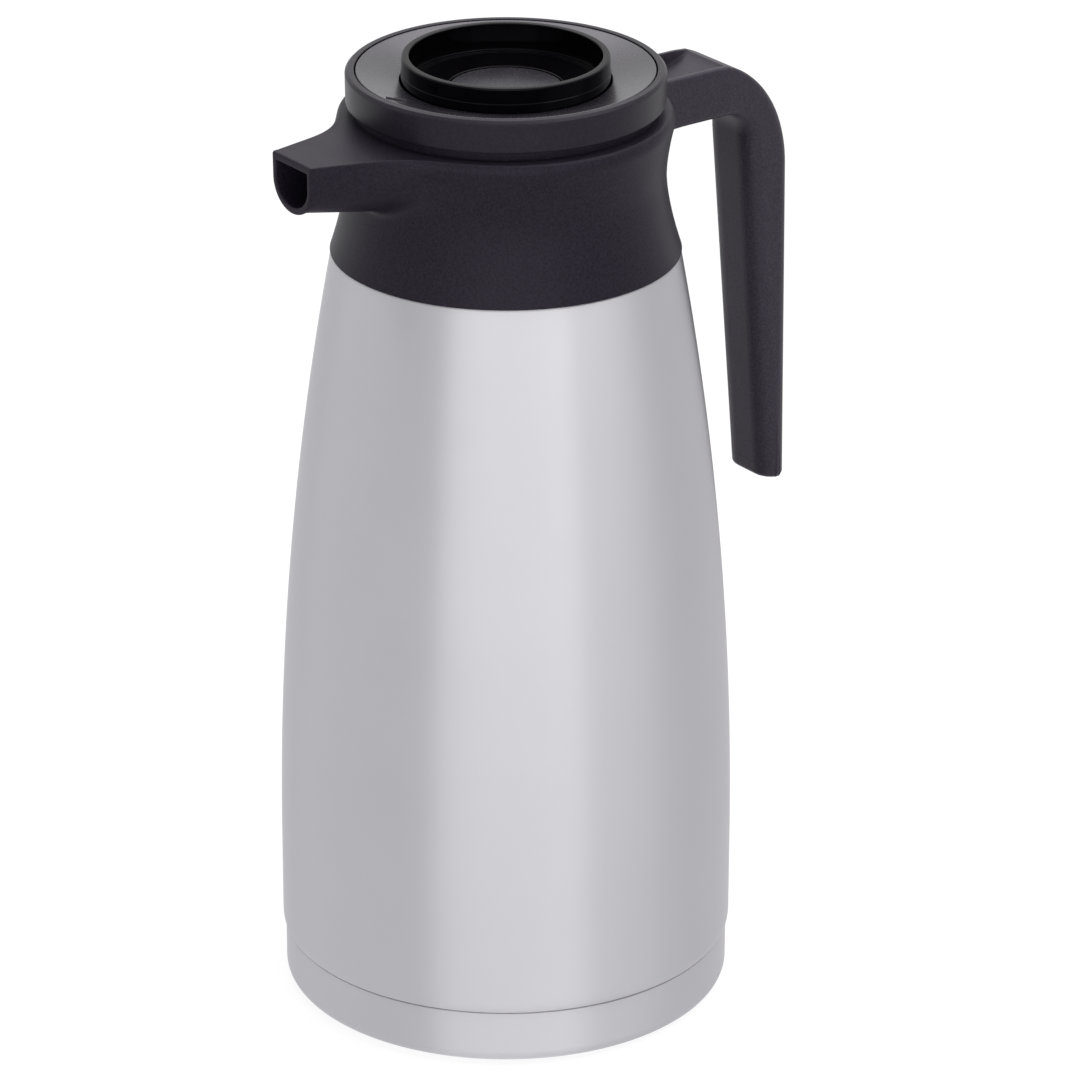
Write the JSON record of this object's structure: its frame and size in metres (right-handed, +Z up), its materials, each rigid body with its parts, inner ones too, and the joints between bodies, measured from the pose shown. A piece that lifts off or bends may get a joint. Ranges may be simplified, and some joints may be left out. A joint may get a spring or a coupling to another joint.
{
  "type": "thermal carafe",
  "caption": "Tall double-walled steel serving carafe with a black collar, short open spout, open-ended handle and a screw-in brew-through lid.",
  "frame": {"origin": "centre of the foot disc's underside, on the surface that the carafe stands on", "axes": "+Z up along the carafe's axis, -X towards the spout's tip, +X towards the handle, +Y across"},
  "size_m": [0.1822, 0.142, 0.3065],
  "materials": {
    "body_steel": "fine satin",
    "liner_steel": "satin",
    "fastener_steel": "bright",
    "collar_plastic": "matte, fine grained",
    "lid_plastic": "satin",
    "plate_plastic": "satin",
    "gloss_plastic": "gloss",
    "silicone": "soft matte"
  },
  "bodies": {
    "carafe": {"outer_shell": "body_steel", "inner_liner": "liner_steel", "vacuum_bottom": "liner_steel", "getter": "liner_steel", "vacuum_seal": "liner_steel", "base_cup": "body_steel", "foot_pad": "silicone", "collar": "collar_plastic", "mouth_sleeve": "collar_plastic", "neck_gasket": "silicone", "handle": "collar_plastic", "handle_cover": "collar_plastic", "handle_screws": "fastener_steel"},
    "lid_seals": {"plug_gasket": "silicone", "rim_seal": "silicone"},
    "lid": {"lid_rim": "lid_plastic", "lid_plate": "plate_plastic", "brew_funnel": "gloss_plastic", "lid_plug": "lid_plastic", "flap_pin": "fastener_steel"},
    "flap": {"brew_flap": "plate_plastic", "flap_weight": "fastener_steel"}
  },
  "joints": [
    {"name": "lid_rise", "type": "slide", "parent": "carafe", "child": "lid_seals", "axis": [0, 0, 1], "range_m": [0, 0.042]},
    {"name": "lid_turn", "type": "hinge", "parent": "lid_seals", "child": "lid", "pos_m": [0, 0, 0.2923], "axis": [0, 0, 1], "range_deg": [0, 630]},
    {"name": "flap_hinge", "type": "hinge", "parent": "lid", "child": "flap", "pos_m": [0.0208, 0, 0.2924], "axis": [0, -1, 0], "range_deg": [0, 45]}
  ],
  "couplings": [
    {"joint": "lid_rise", "follows": "lid_turn", "m_per_rad": 0.0038197}
  ]
}
